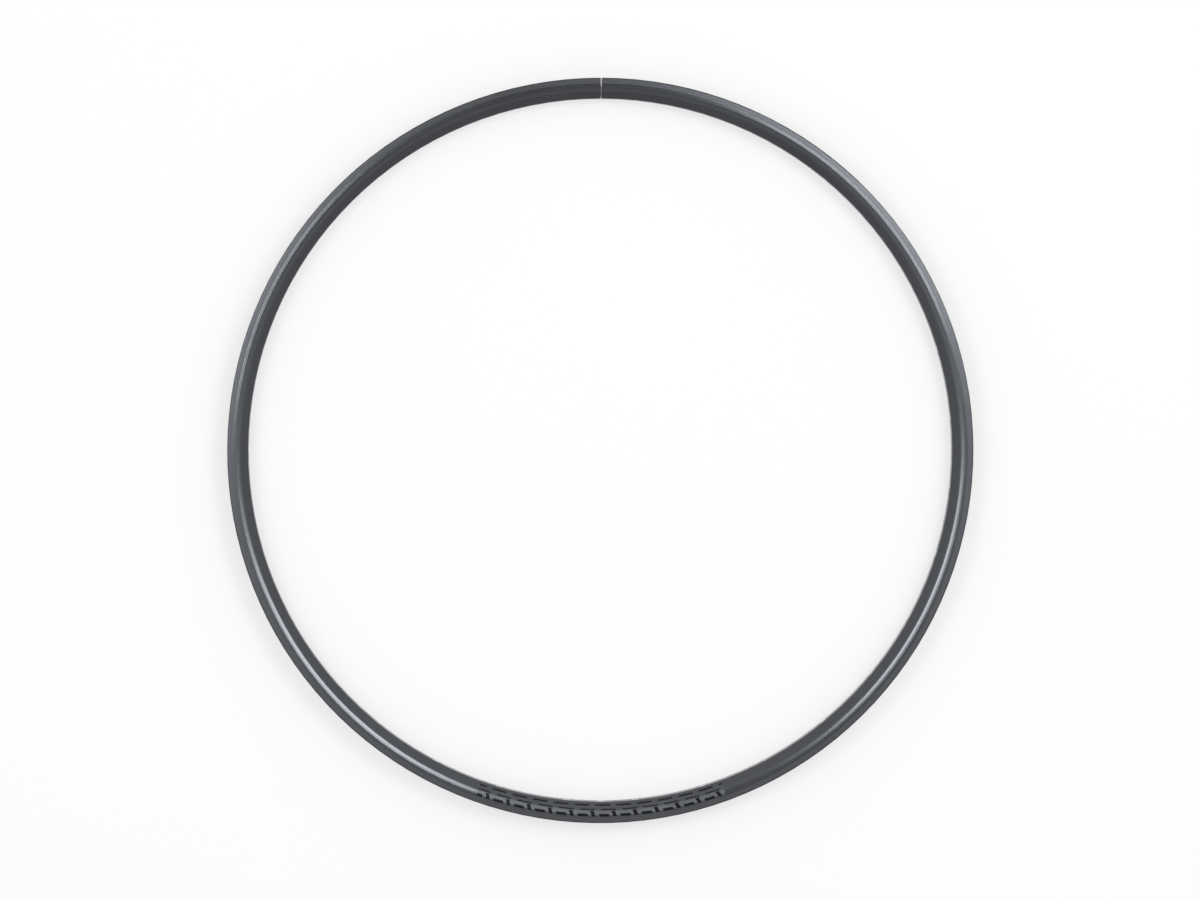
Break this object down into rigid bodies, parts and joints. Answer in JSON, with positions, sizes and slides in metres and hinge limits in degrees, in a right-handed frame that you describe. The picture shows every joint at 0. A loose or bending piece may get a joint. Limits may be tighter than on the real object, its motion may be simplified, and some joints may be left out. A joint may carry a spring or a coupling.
{
  "type": "bicycle rim",
  "caption": "Bare double-wall aluminium bicycle rim: a dark satin hoop with hooked tyre flanges, a drilled spoke bed, a valve hole and a sleeved butt joint.",
  "frame": {"origin": "centre of the wheel, on the rim's middle plane", "axes": "+Z along the wheel axis, out of the side with the decal; +Y towards the joint seam; the valve hole is at -Y"},
  "size_m": [0.634, 0.634, 0.0257],
  "materials": {
    "dark_satin_aluminium": "satin",
    "bare_aluminium": "satin",
    "decal_film": "gloss"
  },
  "bodies": {
    "root": {"rim_hoop": "dark_satin_aluminium", "joint_sleeve": "bare_aluminium", "side_decal": "decal_film"}
  },
  "joints": []
}
